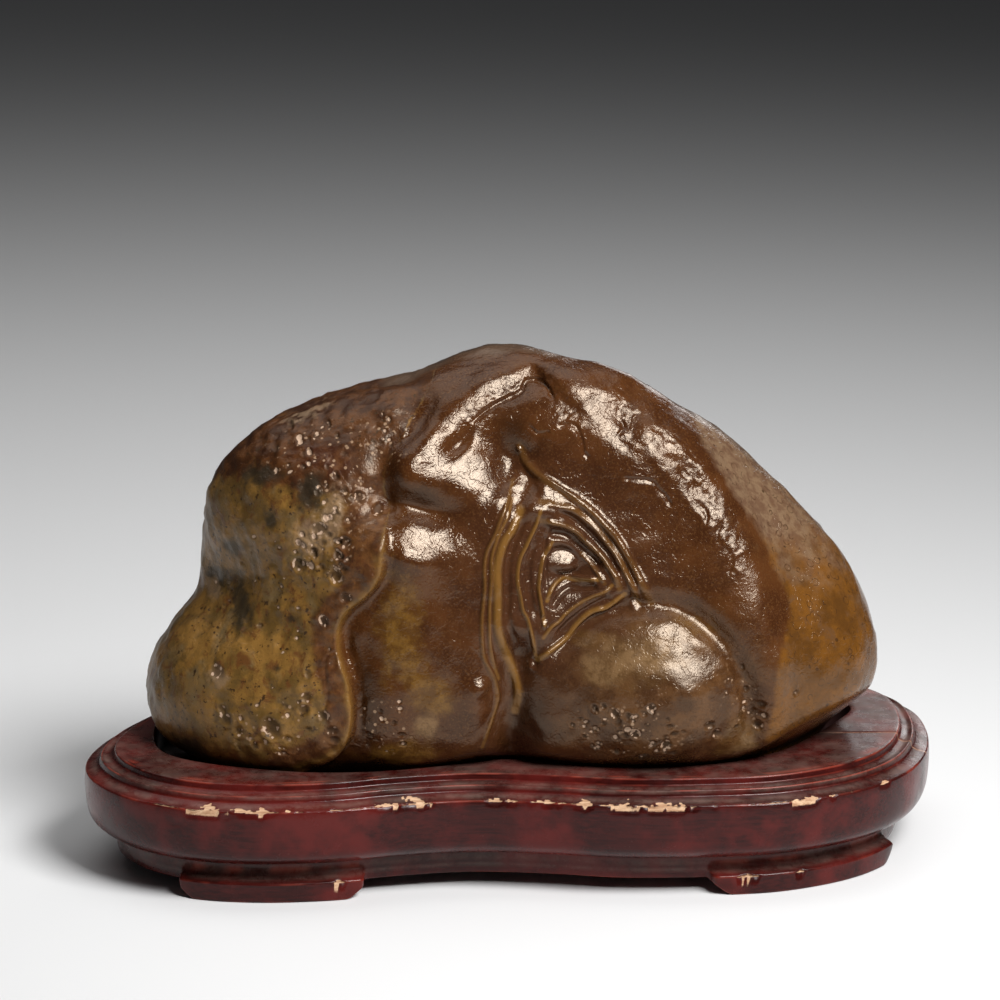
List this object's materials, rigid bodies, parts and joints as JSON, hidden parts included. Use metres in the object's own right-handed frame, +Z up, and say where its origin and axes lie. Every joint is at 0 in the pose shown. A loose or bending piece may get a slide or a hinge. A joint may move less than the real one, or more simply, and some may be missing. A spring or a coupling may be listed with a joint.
{
  "type": "scholar's rock on a carved wooden stand",
  "caption": "Brown waxed scholar's stone with a lobed face and nested triangular ridges, resting in the socket of a low moulded hardwood stand with bracket feet.",
  "frame": {"origin": "on the table, under the middle of the stand's plan", "axes": "+X to the right along the stand's length, +Y to the back, +Z up; the carved-looking face of the stone looks along -Y"},
  "size_m": [0.345, 0.178, 0.206],
  "materials": {
    "waxed_stone": "glossy wax over mottled brown and ochre stone",
    "lacquered_wood": "worn dark red-brown lacquer"
  },
  "bodies": {
    "root": {"stone": "waxed_stone", "stand": "lacquered_wood"}
  },
  "joints": []
}
